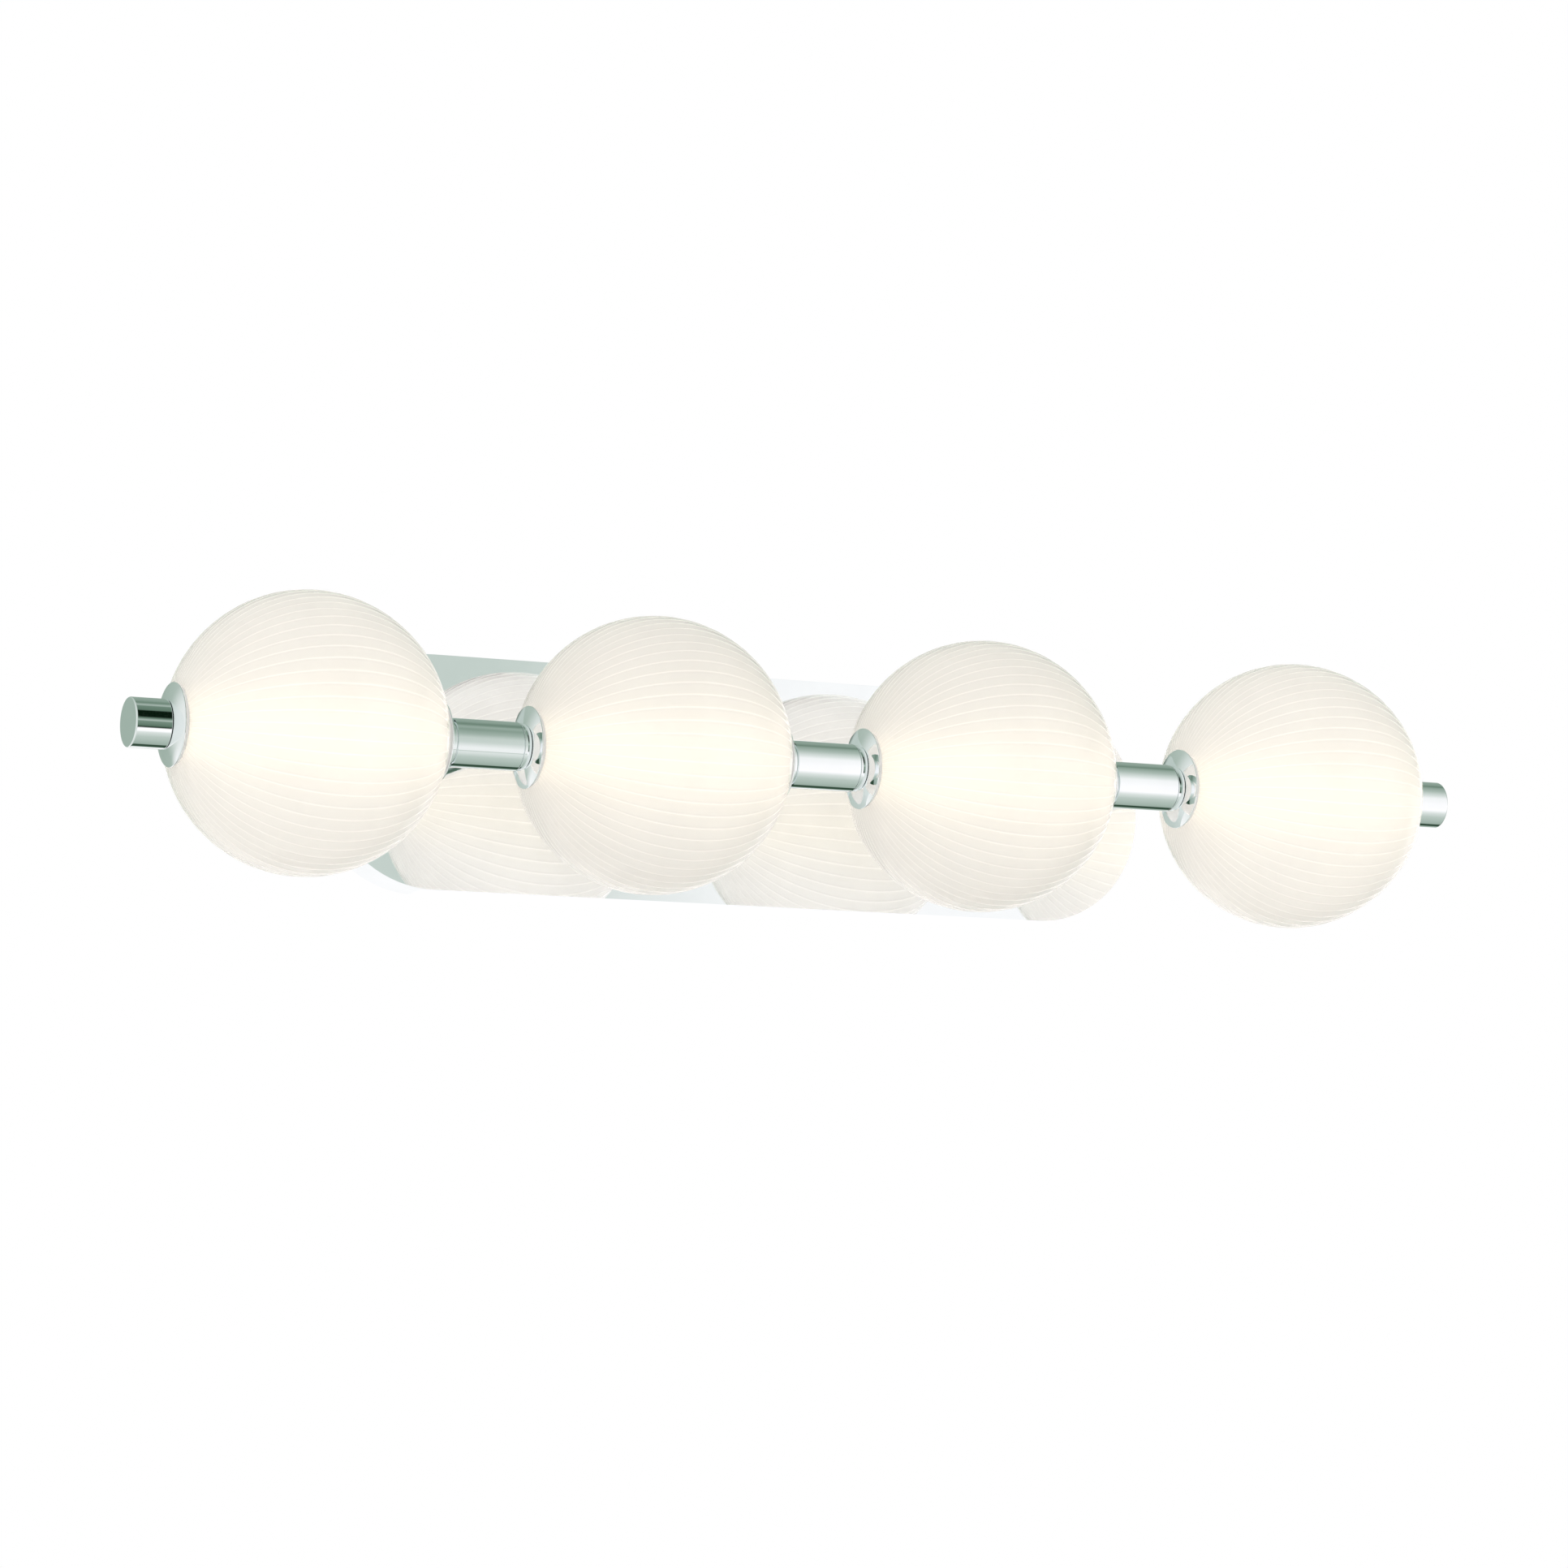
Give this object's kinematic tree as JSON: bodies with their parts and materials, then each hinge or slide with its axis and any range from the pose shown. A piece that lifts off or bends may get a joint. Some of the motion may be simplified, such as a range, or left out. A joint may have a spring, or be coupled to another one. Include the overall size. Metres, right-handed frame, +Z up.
{
  "type": "vanity light bar",
  "caption": "Wall-mounted vanity light: ribbed opal glass globes threaded on a chrome bar, held by two arms off a stadium-shaped wall pan.",
  "frame": {"origin": "centre of the junction-box slots, in the plane of the wall", "axes": "+Y into the wall, so the lamp faces -Y; +X along the bar to the right; +Z up"},
  "size_m": [0.7662, 0.1895, 0.145],
  "materials": {
    "chrome": "polished chrome plate",
    "opal_glass": "opal white glass, satin outside, with fine ribs from pole to pole",
    "sleeve_acrylic": "frosted acrylic",
    "silicone": "translucent white silicone",
    "core_aluminium": "extruded, mill finish",
    "led_board": "white solder mask with yellow phosphor chips",
    "zinc_steel": "zinc-plated sheet and fasteners",
    "black_steel": "black oxide",
    "brass": "turned and threaded, unpolished",
    "green_screw": "green passivated",
    "driver_plastic": "moulded white polycarbonate",
    "circuit_board": "green solder mask with black and brown components",
    "wire_black": "stranded wire in black insulation",
    "wire_white": "stranded wire in white insulation",
    "wire_green": "stranded wire in green insulation",
    "wire_red": "stranded wire in red insulation",
    "connector_plastic": "moulded twist-on connector"
  },
  "bodies": {
    "fixture": {"backplate_pan": "chrome", "wall_bracket": "zinc_steel", "ground_screw": "green_screw", "driver_case": "driver_plastic", "driver_base": "zinc_steel", "driver_board": "circuit_board", "driver_studs": "zinc_steel", "driver_nuts": "zinc_steel", "supply_wire_black": "wire_black", "supply_wire_white": "wire_white", "ground_wire": "wire_green", "wire_connectors": "connector_plastic", "standoff_arm_left": "chrome", "standoff_arm_right": "chrome", "arm_bushings": "brass", "arm_nipples": "brass", "arm_washers": "zinc_steel", "arm_nuts": "brass", "bar_rod": "brass", "bar_tube_left": "chrome", "bar_tube_middle": "chrome", "bar_tube_right": "chrome", "feed_wire_positive": "wire_red", "feed_wire_negative": "wire_black", "glass_globe_1": "opal_glass", "led_core_1": "core_aluminium", "led_boards_1": "led_board", "diffuser_sleeve_1": "sleeve_acrylic", "globe_seat_1_left": "silicone", "collar_1_left": "chrome", "globe_seat_1_right": "silicone", "collar_1_right": "chrome", "glass_globe_2": "opal_glass", "led_core_2": "core_aluminium", "led_boards_2": "led_board", "diffuser_sleeve_2": "sleeve_acrylic", "globe_seat_2_left": "silicone", "collar_2_left": "chrome", "globe_seat_2_right": "silicone", "collar_2_right": "chrome", "glass_globe_3": "opal_glass", "led_core_3": "core_aluminium", "led_boards_3": "led_board", "diffuser_sleeve_3": "sleeve_acrylic", "globe_seat_3_left": "silicone", "collar_3_left": "chrome", "globe_seat_3_right": "silicone", "collar_3_right": "chrome", "glass_globe_4": "opal_glass", "led_core_4": "core_aluminium", "led_boards_4": "led_board", "diffuser_sleeve_4": "sleeve_acrylic", "globe_seat_4_left": "silicone", "collar_4_left": "chrome", "globe_seat_4_right": "silicone", "collar_4_right": "chrome"},
    "left_end_cap": {"end_cap_left": "chrome"},
    "right_end_cap": {"end_cap_right": "chrome"},
    "left_set_screw": {"set_screw_left": "black_steel"},
    "right_set_screw": {"set_screw_right": "black_steel"}
  },
  "joints": [
    {"name": "left_end_cap_turn", "type": "hinge", "parent": "fixture", "child": "left_end_cap", "pos_m": [-0.3735, -0.117, 0], "axis": [-1, 0, 0], "continuous": true},
    {"name": "right_end_cap_turn", "type": "hinge", "parent": "fixture", "child": "right_end_cap", "pos_m": [0.3735, -0.117, 0], "axis": [1, 0, 0], "continuous": true},
    {"name": "left_set_screw_turn", "type": "hinge", "parent": "fixture", "child": "left_set_screw", "pos_m": [-0.11, -0.01, 0.056], "axis": [0, 0, 1], "continuous": true},
    {"name": "right_set_screw_turn", "type": "hinge", "parent": "fixture", "child": "right_set_screw", "pos_m": [0.11, -0.01, 0.056], "axis": [0, 0, 1], "continuous": true}
  ]
}
